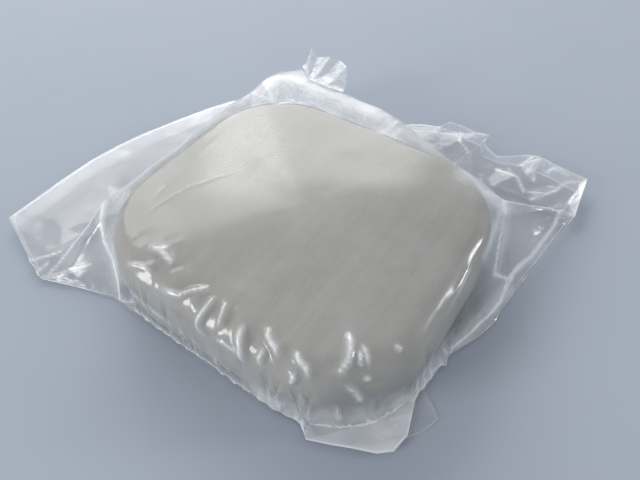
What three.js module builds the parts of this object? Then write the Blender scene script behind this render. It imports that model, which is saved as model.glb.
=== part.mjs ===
// A clay bar for car detailing, lying in its clear film pouch.
// Millimetres, +Z up. The origin is on the resting plane, under the centre of the bar.
// +X runs along the bar's long side and +Y along its short side.
import * as THREE from "three";

// The bar of clay
const BAR_LENGTH = 88;
const BAR_WIDTH = 77;
const BAR_HEIGHT = 22;
const BAR_CORNER_RADIUS = 25;
const BAR_TOP_EDGE = 7;
const BAR_FOOT_EDGE = 2.5;
const BAR_CROWN = 1.4;

// The film, and the clearance between pieces that touch
const FILM = 0.3;
const GAP = 0.3;

// How far the foot of the film stands out from each side of the bar
const FOOT_WEST = 4;
const FOOT_EAST = 0.8;
const FOOT_EAST_BACK = 11;
const FOOT_SOUTH = 1.2;
const FOOT_NORTH = 14;
const FOOT_RADII = [14, 29.5, 9, 12];

// Loose margins of the film: how far outside the foot they fold, and the way the flap faces
const FOLD_CLEARANCE = 0.9;
const FLAP_TURN = -42;

// The pocket that stands off the bar's back corner, and the tab at its end
const POCKET_MIDDLE = -32;
const POCKET_REACH = 16.7;
const POCKET_HEIGHT = 17;
const POCKET_START = 15.2;
const POCKET_SWELL = 1.5;
const POCKET_CLEARANCE = 1.1;
const TAB_WIDTH = 22;
const TAB_LENGTH = 10;
const TAB_LEAN = 25;
const TAB_TURN = 75;

// Smoothness
const ARC_STEPS = 8;
const SIDE_STEPS = 4;
const EDGE_STEPS = 5;
const CROWN_STEPS = 4;
const WALL_STEPS = 4;
const SHEET_STEPS = 4;

// Heights that several pieces share
const BAR_BASE = FILM + GAP;
const SHOULDER = BAR_BASE + BAR_HEIGHT - BAR_CROWN - BAR_TOP_EDGE;
const RIM = FILM + GAP;
const TOP_PLY = FILM + GAP;

const point = (x, y) => new THREE.Vector2(x, y);

/** A closed loop round four corners, counter-clockwise, each corner rounded by its radius. */
function roundedLoop(corners, radii) {
  const arcs = corners.map((corner, i) => {
    const back = corners[(i + 3) % 4].clone().sub(corner).normalize();
    const ahead = corners[(i + 1) % 4].clone().sub(corner).normalize();
    const half = Math.acos(back.dot(ahead)) / 2;
    const inward = back.clone().add(ahead).normalize();
    const centre = corner.clone().addScaledVector(inward, radii[i] / Math.sin(half));
    const start = corner.clone().addScaledVector(back, radii[i] / Math.tan(half));
    const sweep = Math.PI - 2 * half;
    return Array.from({ length: ARC_STEPS + 1 }, (_, k) =>
      start.clone().rotateAround(centre, (sweep * k) / ARC_STEPS),
    );
  });
  return arcs.flatMap((arc, i) => {
    const from = arc[ARC_STEPS];
    const to = arcs[(i + 1) % 4][0];
    const side = Array.from({ length: SIDE_STEPS - 1 }, (_, k) =>
      from.clone().lerp(to, (k + 1) / SIDE_STEPS),
    );
    return [...arc, ...side];
  });
}

/** The bar's outline in plan, taken in by inset, or let out where inset is negative. */
function barLoop(inset) {
  const x = BAR_LENGTH / 2 - inset;
  const y = BAR_WIDTH / 2 - inset;
  const corners = [point(-x, -y), point(x, -y), point(x, y), point(-x, y)];
  return roundedLoop(corners, Array(4).fill(BAR_CORNER_RADIUS - inset));
}

/** The film's outline where it meets the table, taken in by inset. */
function footLoop(inset) {
  const west = -BAR_LENGTH / 2 - FOOT_WEST + inset;
  const south = -BAR_WIDTH / 2 - FOOT_SOUTH + inset;
  const north = BAR_WIDTH / 2 + FOOT_NORTH - inset;
  const front = BAR_LENGTH / 2 + FOOT_EAST - inset;
  const back = BAR_LENGTH / 2 + FOOT_EAST_BACK - inset;
  const corners = [point(west, south), point(front, south), point(back, north), point(west, north)];
  return roundedLoop(corners, FOOT_RADII.map((radius) => radius - inset));
}

const raised = (loop, z) => loop.map((p) => new THREE.Vector3(p.x, p.y, z));

/** Rings over the top of the bar, from its shoulder to near its crown, let out by offset. */
function crownRings(offset) {
  const rings = [];
  for (let k = 1; k <= EDGE_STEPS; k++) {
    const angle = (Math.PI / 2) * (k / EDGE_STEPS);
    const radius = BAR_TOP_EDGE + offset;
    const inset = BAR_TOP_EDGE - radius * Math.cos(angle);
    rings.push(raised(barLoop(inset), SHOULDER + radius * Math.sin(angle)));
  }
  const flat = barLoop(BAR_TOP_EDGE);
  for (let k = 1; k < CROWN_STEPS; k++) {
    const share = k / CROWN_STEPS;
    const rise = BAR_CROWN * (1 - (1 - share) ** 2);
    const loop = flat.map((p) => p.clone().multiplyScalar(1 - share));
    rings.push(raised(loop, SHOULDER + BAR_TOP_EDGE + offset + rise));
  }
  return rings;
}

/** Rings up the film's wall, from its rim to the bar's shoulder, closing in on the bar. */
function wallRings(offset, inset) {
  const bar = barLoop(-offset);
  const foot = footLoop(inset);
  return Array.from({ length: WALL_STEPS + 1 }, (_, k) => {
    const share = k / WALL_STEPS;
    const loop = foot.map((p, i) => p.clone().lerp(bar[i], 1 - (1 - share) ** 2));
    return raised(loop, RIM + (SHOULDER - RIM) * share);
  });
}

function geometryOf(points, faces) {
  const geometry = new THREE.BufferGeometry();
  geometry.setAttribute(
    "position",
    new THREE.Float32BufferAttribute(points.flatMap((p) => p.toArray()), 3),
  );
  geometry.setIndex(faces.flat());
  geometry.computeVertexNormals();
  return geometry;
}

/** A closed solid through rings of equal length, from a first centre point to a last one. */
function loftedSolid(rings, first, last) {
  const count = rings[0].length;
  const points = [...rings.flat(), first, last];
  const firstIndex = points.length - 2;
  const faces = [];
  for (let j = 0; j < count; j++) {
    const next = (j + 1) % count;
    const end = (rings.length - 1) * count;
    faces.push([firstIndex, next, j], [firstIndex + 1, end + j, end + next]);
    for (let i = 0; i < rings.length - 1; i++) {
      const low = i * count;
      const high = low + count;
      faces.push([low + j, low + next, high + next], [low + j, high + next, high + j]);
    }
  }
  return geometryOf(points, faces);
}

/** A closed film solid under a grid of points, thick upwards. */
function sheetSolid(grid) {
  const rows = grid.length;
  const columns = grid[0].length;
  const under = grid.flat();
  const over = under.map((p) => p.clone().setZ(p.z + FILM));
  const top = rows * columns;
  const faces = [];
  const quad = (a, b, c, d) => faces.push([a, b, c], [a, c, d]);
  for (let i = 0; i < rows - 1; i++)
    for (let j = 0; j < columns - 1; j++) {
      const a = i * columns + j;
      const [b, c, d] = [a + columns, a + columns + 1, a + 1];
      quad(a, d, c, b);
      quad(top + a, top + b, top + c, top + d);
    }
  for (let j = 0; j < columns - 1; j++) {
    const far = (rows - 1) * columns + j;
    quad(j, top + j, top + j + 1, j + 1);
    quad(far, far + 1, top + far + 1, top + far);
  }
  for (let i = 0; i < rows - 1; i++) {
    const near = i * columns;
    const last = near + columns - 1;
    quad(near, near + columns, top + near + columns, top + near);
    quad(last, top + last, top + last + columns, last + columns);
  }
  return geometryOf([...under, ...over], faces);
}

/**
 * A loose ply that starts at a fold line along local Y and reaches out along local X.
 * Each rib has its place on the fold, its place at the cut edge, its reach and its rise.
 */
function plySolid(ribs, side, base) {
  const grid = Array.from({ length: SHEET_STEPS + 1 }, (_, i) => {
    const share = i / SHEET_STEPS;
    return ribs.map(
      (rib) =>
        new THREE.Vector3(
          GAP + rib.reach * share,
          THREE.MathUtils.lerp(rib.root, rib.tip, share) * side,
          base + rib.rise * share ** 2,
        ),
    );
  });
  return sheetSolid(grid);
}

const clay = { color: 0xb3afa6, roughness: 0.62, metalness: 0 };
const film = { color: 0xe4ebf2, roughness: 0.22, metalness: 0, transparent: true, opacity: 0.35 };

function named(name, geometry, finish) {
  const mesh = new THREE.Mesh(geometry, new THREE.MeshStandardMaterial(finish));
  mesh.name = name;
  return mesh;
}

/** A group whose local X points outwards from a fold line, with the plies that lie there. */
function margin(turn, x, y, plies) {
  const group = new THREE.Group();
  group.rotation.z = turn;
  group.position.set(x, y, 0);
  group.add(...plies);
  return group;
}

function clayBar() {
  const footArc = Array.from({ length: 4 }, (_, k) => {
    const angle = (Math.PI / 2) * (k / 3);
    const inset = BAR_FOOT_EDGE * (1 - Math.sin(angle));
    return raised(barLoop(inset), BAR_BASE + BAR_FOOT_EDGE * (1 - Math.cos(angle)));
  });
  const rings = [...footArc, raised(barLoop(0), SHOULDER), ...crownRings(0)];
  const under = new THREE.Vector3(0, 0, BAR_BASE);
  const crown = new THREE.Vector3(0, 0, BAR_BASE + BAR_HEIGHT);
  return named("clay_bar", loftedSolid(rings, under, crown), clay);
}

/** The ply that lies over the bar: down its inside from the crown, and back up its outside. */
function pouchCover() {
  const inside = [...wallRings(GAP, FILM), ...crownRings(GAP)].reverse();
  const outside = [...wallRings(GAP + FILM, 0), ...crownRings(GAP + FILM)];
  const crown = BAR_BASE + BAR_HEIGHT + GAP;
  return named(
    "pouch_cover",
    loftedSolid(
      [...inside, ...outside],
      new THREE.Vector3(0, 0, crown),
      new THREE.Vector3(0, 0, crown + FILM),
    ),
    film,
  );
}

/** The ply under the bar, which the whole pouch rests on. */
function pouchFloor() {
  const rings = [raised(footLoop(0), 0), raised(footLoop(0), FILM)];
  const solid = loftedSolid(rings, new THREE.Vector3(0, 0, 0), new THREE.Vector3(0, 0, FILM));
  return named("pouch_floor", solid, film);
}

/** The widest margin, off the bar's -X side. Its cut edge is the mouth of the pouch. */
function leftEar() {
  const floorRibs = [
    { root: -0.45, tip: -0.56, reach: 16, rise: 0 },
    { root: -0.22, tip: -0.32, reach: 25, rise: 0 },
    { root: 0.06, tip: 0.06, reach: 33, rise: 0 },
    { root: 0.4, tip: 0.48, reach: 34, rise: 0 },
    { root: 0.48, tip: 0.55, reach: 8, rise: 0 },
  ];
  const topRibs = [
    { root: -0.46, tip: -0.58, reach: 17, rise: 2 },
    { root: -0.23, tip: -0.34, reach: 26, rise: 2.6 },
    { root: 0.07, tip: 0.07, reach: 35, rise: 2.8 },
    { root: 0.41, tip: 0.5, reach: 36, rise: 2.6 },
    { root: 0.5, tip: 0.6, reach: 9, rise: 0.4 },
  ];
  const x = -BAR_LENGTH / 2 - FOOT_WEST - FOLD_CLEARANCE;
  return margin(Math.PI, x, 0, [
    named("left_ear_floor_ply", plySolid(floorRibs, BAR_WIDTH, 0), film),
    named("left_ear_top_ply", plySolid(topRibs, BAR_WIDTH, TOP_PLY), film),
  ]);
}

/** The margin off the right half of the bar's +Y side. */
function rightEar() {
  const floorRibs = [
    { root: -0.63, tip: -0.64, reach: 13.5, rise: 0 },
    { root: -0.55, tip: -0.56, reach: 15, rise: 0 },
    { root: -0.44, tip: -0.45, reach: 15.5, rise: 0 },
    { root: -0.33, tip: -0.33, reach: 13.5, rise: 0 },
    { root: -0.25, tip: -0.25, reach: 20, rise: 0 },
    { root: -0.09, tip: -0.08, reach: 20, rise: 0 },
    { root: 0.03, tip: 0.04, reach: 14, rise: 0 },
    { root: 0.12, tip: 0.11, reach: 7.5, rise: 0 },
  ];
  const topRibs = [
    { root: -0.64, tip: -0.66, reach: 15, rise: 4.4 },
    { root: -0.56, tip: -0.57, reach: 17, rise: 3.6 },
    { root: -0.45, tip: -0.46, reach: 17.3, rise: 3.4 },
    { root: -0.33, tip: -0.33, reach: 15.2, rise: 1.6 },
    { root: -0.24, tip: -0.26, reach: 22, rise: 2 },
    { root: -0.09, tip: -0.08, reach: 22, rise: 1.6 },
    { root: 0.03, tip: 0.04, reach: 16, rise: 0.8 },
    { root: 0.13, tip: 0.12, reach: 8.5, rise: 0.6 },
  ];
  const y = BAR_WIDTH / 2 + FOOT_NORTH + FOLD_CLEARANCE;
  return margin(Math.PI / 2, 0, y, [
    named("right_ear_floor_ply", plySolid(floorRibs, BAR_LENGTH, 0), film),
    named("right_ear_top_ply", plySolid(topRibs, BAR_LENGTH, TOP_PLY), film),
  ]);
}

/** The short two-ply margin at the bar's front corner. */
function frontFlap() {
  const floorRibs = [
    { root: -0.04, tip: -0.04, reach: 3, rise: 0 },
    { root: 0.06, tip: 0.07, reach: 7, rise: 0 },
    { root: 0.16, tip: 0.18, reach: 6, rise: 0 },
    { root: 0.24, tip: 0.27, reach: 2.5, rise: 0 },
  ];
  const topRibs = [
    { root: -0.1, tip: -0.11, reach: 2, rise: 0.2 },
    { root: 0, tip: 0, reach: 6, rise: 0.6 },
    { root: 0.08, tip: 0.09, reach: 8, rise: 0.8 },
    { root: 0.16, tip: 0.17, reach: 6, rise: 0.8 },
    { root: 0.2, tip: 0.21, reach: 2, rise: 0.4 },
  ];
  const turn = THREE.MathUtils.degToRad(FLAP_TURN);
  const outwards = point(Math.cos(turn), Math.sin(turn));
  const foot = Math.max(...footLoop(0).map((p) => p.dot(outwards)));
  const fold = outwards.clone().multiplyScalar(foot + FOLD_CLEARANCE);
  return margin(turn, fold.x, fold.y, [
    named("front_flap_floor_ply", plySolid(floorRibs, BAR_LENGTH, 0), film),
    named("front_flap_top_ply", plySolid(topRibs, BAR_LENGTH, TOP_PLY), film),
  ]);
}

/** Where the pocket ends and the tab's fold starts: its middle, and the way it faces. */
function tabFold() {
  const middle = point(POCKET_MIDDLE, BAR_WIDTH / 2 + POCKET_REACH);
  return { middle, turn: THREE.MathUtils.degToRad(TAB_TURN) };
}

/** The pocket at the back corner, which air holds clear of the bar. */
function backPocket() {
  const corner = 3 * (ARC_STEPS + SIDE_STEPS);
  const near = barLoop(-POCKET_CLEARANCE).slice(corner - 1, corner + ARC_STEPS / 2 + 2);
  const { middle, turn } = tabFold();
  const grid = Array.from({ length: SHEET_STEPS + 1 }, (_, i) => {
    const share = i / SHEET_STEPS;
    const swell = POCKET_SWELL * Math.sin(Math.PI * share);
    return near.map((p, k) => {
      const place = k / (near.length - 1) - 0.5;
      const far = middle.clone().add(point(0, place * TAB_WIDTH).rotateAround(point(0, 0), turn));
      const at = p.clone().lerp(far, share);
      const z = THREE.MathUtils.lerp(POCKET_START, POCKET_HEIGHT, share) + swell;
      return new THREE.Vector3(at.x, at.y, z);
    });
  });
  return named("back_pocket", sheetSolid(grid), film);
}

/** The sealed corner of the pouch, a short tab that stands up from the pocket. */
function backTab() {
  const lean = THREE.MathUtils.degToRad(TAB_LEAN);
  const across = [-0.5, -0.15, 0.2, 0.5];
  const grid = Array.from({ length: SHEET_STEPS + 1 }, (_, i) => {
    const along = (TAB_LENGTH * i) / SHEET_STEPS;
    const taper = 1 - (0.1 * i) / SHEET_STEPS;
    const x = FOLD_CLEARANCE + along * Math.cos(lean);
    const z = POCKET_HEIGHT + along * Math.sin(lean);
    return across.map((place) => new THREE.Vector3(x, place * TAB_WIDTH * taper, z));
  });
  const { middle, turn } = tabFold();
  return margin(turn, middle.x, middle.y, [named("back_tab", sheetSolid(grid), film)]);
}

const part = new THREE.Group();
part.add(clayBar(), pouchCover(), pouchFloor());
part.add(leftEar(), rightEar(), frontFlap(), backPocket(), backTab());

export default part;
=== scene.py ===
"""Looks of a clay bar in its clear film pouch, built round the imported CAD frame."""

import logging
import math
from collections.abc import Callable
from dataclasses import dataclass, field
from enum import Enum

import bpy
import numpy as np
from mathutils import Matrix, Vector, noise
from mathutils.geometry import delaunay_2d_cdt


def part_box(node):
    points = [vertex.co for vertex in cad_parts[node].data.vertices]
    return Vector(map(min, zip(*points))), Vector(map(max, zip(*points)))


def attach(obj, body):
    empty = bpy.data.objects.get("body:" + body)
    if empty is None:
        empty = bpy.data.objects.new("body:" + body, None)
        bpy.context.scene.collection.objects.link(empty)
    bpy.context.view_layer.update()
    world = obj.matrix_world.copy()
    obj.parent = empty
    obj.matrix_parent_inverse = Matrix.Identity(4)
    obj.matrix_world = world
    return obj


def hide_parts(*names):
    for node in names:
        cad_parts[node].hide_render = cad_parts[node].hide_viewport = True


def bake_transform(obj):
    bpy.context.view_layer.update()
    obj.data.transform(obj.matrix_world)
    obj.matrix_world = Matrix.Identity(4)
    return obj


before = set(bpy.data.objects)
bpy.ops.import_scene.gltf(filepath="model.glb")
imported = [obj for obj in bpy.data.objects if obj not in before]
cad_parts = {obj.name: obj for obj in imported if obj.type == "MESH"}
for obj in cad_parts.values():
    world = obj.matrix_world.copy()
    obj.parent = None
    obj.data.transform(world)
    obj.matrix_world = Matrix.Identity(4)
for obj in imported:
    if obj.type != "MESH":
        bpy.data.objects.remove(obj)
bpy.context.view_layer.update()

LOG = logging.getLogger("clay_bar")
MM = 0.001
LEAST_TURN = math.radians(0.06)
Array = np.ndarray
Point = tuple[float, float, float]
Strand = tuple[Point, ...]


class Body(Enum):
    """The frame's moving bodies."""

    BAR = "wrapped_bar"
    LEFT_FLOOR = "left_ear_floor"
    LEFT_TOP = "left_ear_top"
    RIGHT_FLOOR = "right_ear_floor"
    RIGHT_TOP = "right_ear_top"
    FLAP_FLOOR = "front_flap_floor"
    FLAP_TOP = "front_flap_top"
    TAB = "back_tab"


class Slot(Enum):
    """The record's finishes."""

    CLAY = "clay"
    FILM = "film"


# ---------------------------------------------------------------------------
# Small helpers
# ---------------------------------------------------------------------------


def unit(vectors: Array) -> Array:
    """Scales vectors along the last axis to length one."""
    return vectors / np.maximum(np.linalg.norm(vectors, axis=-1, keepdims=True), 1e-9)


def smoothstep(low: float, high: float, values: Array) -> Array:
    """Goes smoothly from 0 at low to 1 at high."""
    share = np.clip((values - low) / (high - low), 0, 1)
    return share * share * (3 - 2 * share)


def bell(distance: Array, width: Array | float) -> Array:
    """A smooth bump that is 1 at distance 0 and fades out over about two widths."""
    return np.exp(-((distance / width) ** 2))


def ray_angles(columns: int, outline: Array) -> Array:
    """Directions of a film grid's rays.

    Args:
        columns: How many are spread evenly.
        outline: Corners that a ray goes through as well, n by 2 or more.

    Returns:
        The directions in radians, in order.
    """
    spread = np.linspace(-math.pi, math.pi, columns, endpoint=False)
    corners = np.arctan2(outline[:, 1], outline[:, 0])
    angles = np.sort(np.concatenate([spread, corners]))
    return angles[np.append(True, np.diff(angles) > LEAST_TURN)]


def plan_rings(angles: Array, first: Array, last: Array, rows: int) -> list[Array]:
    """Evenly spaced rings in plan.

    Args:
        angles: Directions in radians.
        first: How far the ring inside them all reaches, which is left out.
        last: How far the outermost ring reaches.
        rows: How many rings.

    Returns:
        The rings, each n by 2.
    """
    reaches = [first + (last - first) * k / rows for k in range(1, rows + 1)]
    return [np.stack([r * np.cos(angles), r * np.sin(angles)], -1) for r in reaches]


def ray_reach(angles: Array, polygon: Array) -> Array:
    """How far a ray from the origin goes before it leaves a star-shaped polygon.

    Args:
        angles: Directions in radians.
        polygon: Corners in order, n by 2.

    Returns:
        One distance for each angle.
    """
    rays = np.stack([np.cos(angles), np.sin(angles)], -1)
    found = np.zeros(len(angles))
    for start, end in zip(polygon, np.roll(polygon, -1, 0)):
        side = end - start
        cross = rays[:, 0] * side[1] - rays[:, 1] * side[0]
        safe = np.where(abs(cross) < 1e-9, 1e-9, cross)
        distance = (start[0] * side[1] - start[1] * side[0]) / safe
        place = (start[0] * rays[:, 1] - start[1] * rays[:, 0]) / safe
        hit = (distance > 0) & (place >= -1e-6) & (place <= 1 + 1e-6)
        found = np.where(hit, np.maximum(found, distance), found)
    return found


def noise_field(points: Array, size: float, seed: float) -> Array:
    """Smooth noise from -1 to 1 at each point.

    Args:
        points: Places in millimetres, n by 3.
        size: Size of a feature in millimetres.
        seed: Shifts the pattern.

    Returns:
        One value for each point.
    """
    scaled = points / size + seed
    return np.array([noise.noise(Vector(p)) for p in scaled])


def crumple_field(points: Array, size: float, seed: float) -> Array:
    """Sharp-edged noise, as film has when it has been creased, from 0 to 1.

    Args:
        points: Places in millimetres, n by 3.
        size: Size of a feature in millimetres.
        seed: Shifts the pattern.

    Returns:
        One value for each point.
    """
    scaled = points / size + seed
    cells = [noise.voronoi(Vector(p))[0] for p in scaled]
    return np.array([c[1] - c[0] for c in cells])


def mesh_object(name: str, points: Array, faces: list, smooth: bool = True) -> bpy.types.Object:
    """Links a new mesh object.

    Args:
        name: The piece's name.
        points: Vertices in millimetres, n by 3.
        faces: Vertex indices of each face.
        smooth: Whether its faces are shaded smooth.

    Returns:
        The object, in metres.
    """
    mesh = bpy.data.meshes.new(name)
    mesh.from_pydata([tuple(p) for p in points * MM], [], faces)
    mesh.validate()
    mesh.polygons.foreach_set("use_smooth", [smooth] * len(mesh.polygons))
    obj = bpy.data.objects.new(name, mesh)
    bpy.context.scene.collection.objects.link(obj)
    return obj


def mark(piece: bpy.types.Object, name: str, values: Array) -> None:
    """Stores one value for each vertex of a piece, which its finish reads by name."""
    attribute = piece.data.attributes.new(name, "FLOAT", "POINT")
    attribute.data.foreach_set("value", values.astype(np.float32))


# ---------------------------------------------------------------------------
# Finishes
# ---------------------------------------------------------------------------


class Nodes:
    """A new material's node tree, with short ways to add and join nodes."""

    def __init__(self, name: str) -> None:
        """Starts an empty material.

        Args:
            name: The material's name.
        """
        self.material = bpy.data.materials.new(name)
        self.material.use_nodes = True
        self.tree = self.material.node_tree
        self.tree.nodes.clear()
        self.output = self.add("ShaderNodeOutputMaterial")

    def add(self, kind: str, **sockets: object) -> bpy.types.Node:
        """Adds a node.

        Args:
            kind: Its type.
            **sockets: Values of its inputs, with _ for a space in a name.

        Returns:
            The node.
        """
        node = self.tree.nodes.new(kind)
        for name, value in sockets.items():
            node.inputs[name.replace("_", " ")].default_value = value
        return node

    def link(self, source: bpy.types.NodeSocket, target: bpy.types.NodeSocket) -> None:
        """Joins an output to an input."""
        self.tree.links.new(source, target)

    def math(self, operation: str, first: object, second: object) -> bpy.types.NodeSocket:
        """Adds a Math node.

        Args:
            operation: What it does.
            first: Its first input, a socket or a number.
            second: Its second input, a socket or a number.

        Returns:
            Its output.
        """
        node = self.tree.nodes.new("ShaderNodeMath")
        node.operation = operation
        for socket, value in zip(node.inputs, (first, second)):
            if isinstance(value, bpy.types.NodeSocket):
                self.link(value, socket)
            else:
                socket.default_value = value
        return node.outputs[0]

    def texture(self, kind: str, place: bpy.types.NodeSocket, **sockets: object) -> bpy.types.Node:
        """Adds a texture node that reads its place from a socket.

        Args:
            kind: Its type.
            place: Where it reads its place.
            **sockets: Values of its other inputs.

        Returns:
            The node.
        """
        node = self.add(kind, **sockets)
        self.link(place, node.inputs["Vector"])
        return node

    def spread(self, value: bpy.types.NodeSocket, low: float, high: float) -> bpy.types.NodeSocket:
        """Maps a value so that low becomes 0 and high becomes 1, held between them.

        Args:
            value: The value.
            low: What becomes 0.
            high: What becomes 1.

        Returns:
            The mapped value.
        """
        node = self.tree.nodes.new("ShaderNodeMapRange")
        self.link(value, node.inputs["Value"])
        node.inputs["From Min"].default_value = low
        node.inputs["From Max"].default_value = high
        return node.outputs["Result"]

    def blend_colours(
        self, share: bpy.types.NodeSocket, first: object, second: object
    ) -> bpy.types.NodeSocket:
        """Mixes two colours.

        Args:
            share: How much of the second colour.
            first: A tuple or a socket.
            second: A tuple or a socket.

        Returns:
            The mixed colour.
        """
        node = self.tree.nodes.new("ShaderNodeMix")
        node.data_type = "RGBA"
        self.link(share, node.inputs["Factor"])
        for name, value in (("A", first), ("B", second)):
            socket = [s for s in node.inputs if s.name == name and s.type == "RGBA"][0]
            if isinstance(value, bpy.types.NodeSocket):
                self.link(value, socket)
            else:
                socket.default_value = (*value, 1)
        return [s for s in node.outputs if s.type == "RGBA"][0]


@dataclass(frozen=True)
class ClayFinish:
    """Matt warm grey clay with a fine speckle, a few specks and drawn-out drag lines."""

    light: tuple = (0.47, 0.46, 0.42)
    dark: tuple = (0.37, 0.362, 0.335)
    speck: tuple = (0.16, 0.155, 0.15)
    roughness: float = 0.55

    def build(self) -> bpy.types.Material:
        """Makes the material.

        Returns:
            The material.
        """
        n = Nodes("clay")
        place = n.add("ShaderNodeTexCoord").outputs["Object"]
        tone = n.texture("ShaderNodeTexNoise", place, Scale=38.0, Detail=4.0, Roughness=0.55)
        grain = n.texture("ShaderNodeTexNoise", place, Scale=1500.0, Detail=3.0, Roughness=0.7)
        specks = n.texture("ShaderNodeTexVoronoi", place, Scale=95.0)
        turned = n.add("ShaderNodeMapping", Rotation=(0, 0, math.radians(3)))
        turned.inputs["Scale"].default_value = (430.0, 16.0, 16.0)
        n.link(place, turned.inputs["Vector"])
        drags = n.texture(
            "ShaderNodeTexNoise", turned.outputs["Vector"], Scale=1.0, Detail=3.0, Roughness=0.6
        )
        mixed = n.math("MULTIPLY", tone.outputs["Fac"], 0.4)
        mixed = n.math("ADD", mixed, n.math("MULTIPLY", grain.outputs["Fac"], 0.3))
        mixed = n.math("ADD", mixed, n.math("MULTIPLY", drags.outputs["Fac"], 0.3))
        colour = n.blend_colours(n.spread(mixed, 0.36, 0.64), self.dark, self.light)
        spot = n.spread(specks.outputs["Distance"], 0.055, 0.025)
        patches = n.texture("ShaderNodeTexNoise", place, Scale=60.0)
        few = n.spread(patches.outputs["Fac"], 0.60, 0.66)
        colour = n.blend_colours(n.math("MULTIPLY", spot, few), colour, self.speck)
        bump = n.add("ShaderNodeBump", Strength=0.35, Distance=0.00025)
        height = n.math("ADD", n.math("MULTIPLY", grain.outputs["Fac"], 0.5), drags.outputs["Fac"])
        n.link(height, bump.inputs["Height"])
        shader = n.add("ShaderNodeBsdfPrincipled", Roughness=self.roughness)
        n.link(colour, shader.inputs["Base Color"])
        n.link(bump.outputs["Normal"], shader.inputs["Normal"])
        n.link(shader.outputs["BSDF"], n.output.inputs["Surface"])
        return n.material


@dataclass(frozen=True)
class FilmFinish:
    """Clear film with a slight haze, whiter along its creases and its cut edges. The white along
    its creases and wrinkles is partly painted highlight, and a painted sheen whitens it where it is
    seen edge-on.
    """

    name: str
    haze: float
    crease: float = 0.75
    rim: float = 0.35
    grazing: float = 0.35
    smudge: float = 0.10
    tint: tuple = (0.93, 0.95, 0.98)
    roughness: float = 0.16
    gloss: float = 0.12

    def build(self) -> bpy.types.Material:
        """Makes the material.

        Returns:
            The material.
        """
        n = Nodes(self.name)
        place = n.add("ShaderNodeTexCoord").outputs["Object"]
        # The crease attribute carries the film's own crease whitening together with painted
        # highlights along its wrinkles and creases.
        creased = n.tree.nodes.new("ShaderNodeAttribute")
        creased.attribute_name = "crease"
        cloud = n.texture("ShaderNodeTexNoise", place, Scale=120.0, Detail=3.0, Roughness=0.5)
        fine = n.texture("ShaderNodeTexNoise", place, Scale=650.0, Detail=4.0, Roughness=0.7)
        facing = n.add("ShaderNodeLayerWeight", Blend=0.22)
        broken = n.spread(fine.outputs["Fac"], 0.35, 0.6)
        # The haze attribute holds milky streaks, the soft halo of the painted wrinkle highlights,
        # and a painted highlight along the bar's right edge.
        hazy_and_highlight = n.tree.nodes.new("ShaderNodeAttribute")
        hazy_and_highlight.attribute_name = "haze"
        lines = n.math("MULTIPLY", creased.outputs["Fac"], self.crease)
        lines = n.math("MULTIPLY", lines, n.math("ADD", n.math("MULTIPLY", broken, 0.55), 0.45))
        smudge = n.math("MULTIPLY", n.spread(cloud.outputs["Fac"], 0.35, 0.75), self.smudge)
        # A painted sheen: white added where the film is seen edge-on.
        painted_sheen = n.math("MULTIPLY", facing.outputs["Fresnel"], self.grazing)
        cloudy = n.math("ADD", n.math("MULTIPLY", cloud.outputs["Fac"], 0.5), 0.45)
        milk_and_highlight = n.math("ADD", n.math("MULTIPLY", hazy_and_highlight.outputs["Fac"], cloudy), self.haze)
        amount = n.math("ADD", n.math("ADD", lines, smudge), n.math("ADD", painted_sheen, milk_and_highlight))
        swell = n.texture("ShaderNodeTexNoise", place, Scale=150.0, Detail=2.0, Roughness=0.5)
        bump = n.add("ShaderNodeBump", Strength=0.4, Distance=0.00012)
        height = n.math("ADD", swell.outputs["Fac"], n.math("MULTIPLY", fine.outputs["Fac"], 0.007))
        n.link(height, bump.inputs["Height"])
        shader = n.add("ShaderNodeBsdfPrincipled", Roughness=self.roughness, IOR=2.6)
        shader.inputs["Base Color"].default_value = (*self.tint, 1)
        # The film's gloss stays the same where haze makes it less clear.
        gloss = n.math("MINIMUM", n.math("DIVIDE", self.gloss, amount), 1.0)
        n.link(gloss, shader.inputs["Specular IOR Level"])
        n.link(bump.outputs["Normal"], shader.inputs["Normal"])
        clear = n.add("ShaderNodeBsdfTransparent")
        mix = n.add("ShaderNodeMixShader")
        n.link(n.math("MINIMUM", amount, 0.95), mix.inputs["Fac"])
        n.link(clear.outputs["BSDF"], mix.inputs[1])
        n.link(shader.outputs["BSDF"], mix.inputs[2])
        n.link(mix.outputs["Shader"], n.output.inputs["Surface"])
        return n.material


@dataclass(frozen=True)
class FloorFinish:
    """Pale studio paper with a very faint mottle."""

    light: tuple = (0.44, 0.49, 0.57)
    dark: tuple = (0.41, 0.46, 0.54)

    def build(self) -> bpy.types.Material:
        """Makes the material.

        Returns:
            The material.
        """
        n = Nodes("floor")
        place = n.add("ShaderNodeTexCoord").outputs["Object"]
        mottle = n.texture("ShaderNodeTexNoise", place, Scale=25.0, Detail=4.0)
        shader = n.add("ShaderNodeBsdfPrincipled", Roughness=0.85)
        n.link(
            n.blend_colours(mottle.outputs["Fac"], self.dark, self.light),
            shader.inputs["Base Color"],
        )
        n.link(shader.outputs["BSDF"], n.output.inputs["Surface"])
        return n.material


# ---------------------------------------------------------------------------
# The clay
# ---------------------------------------------------------------------------


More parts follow.
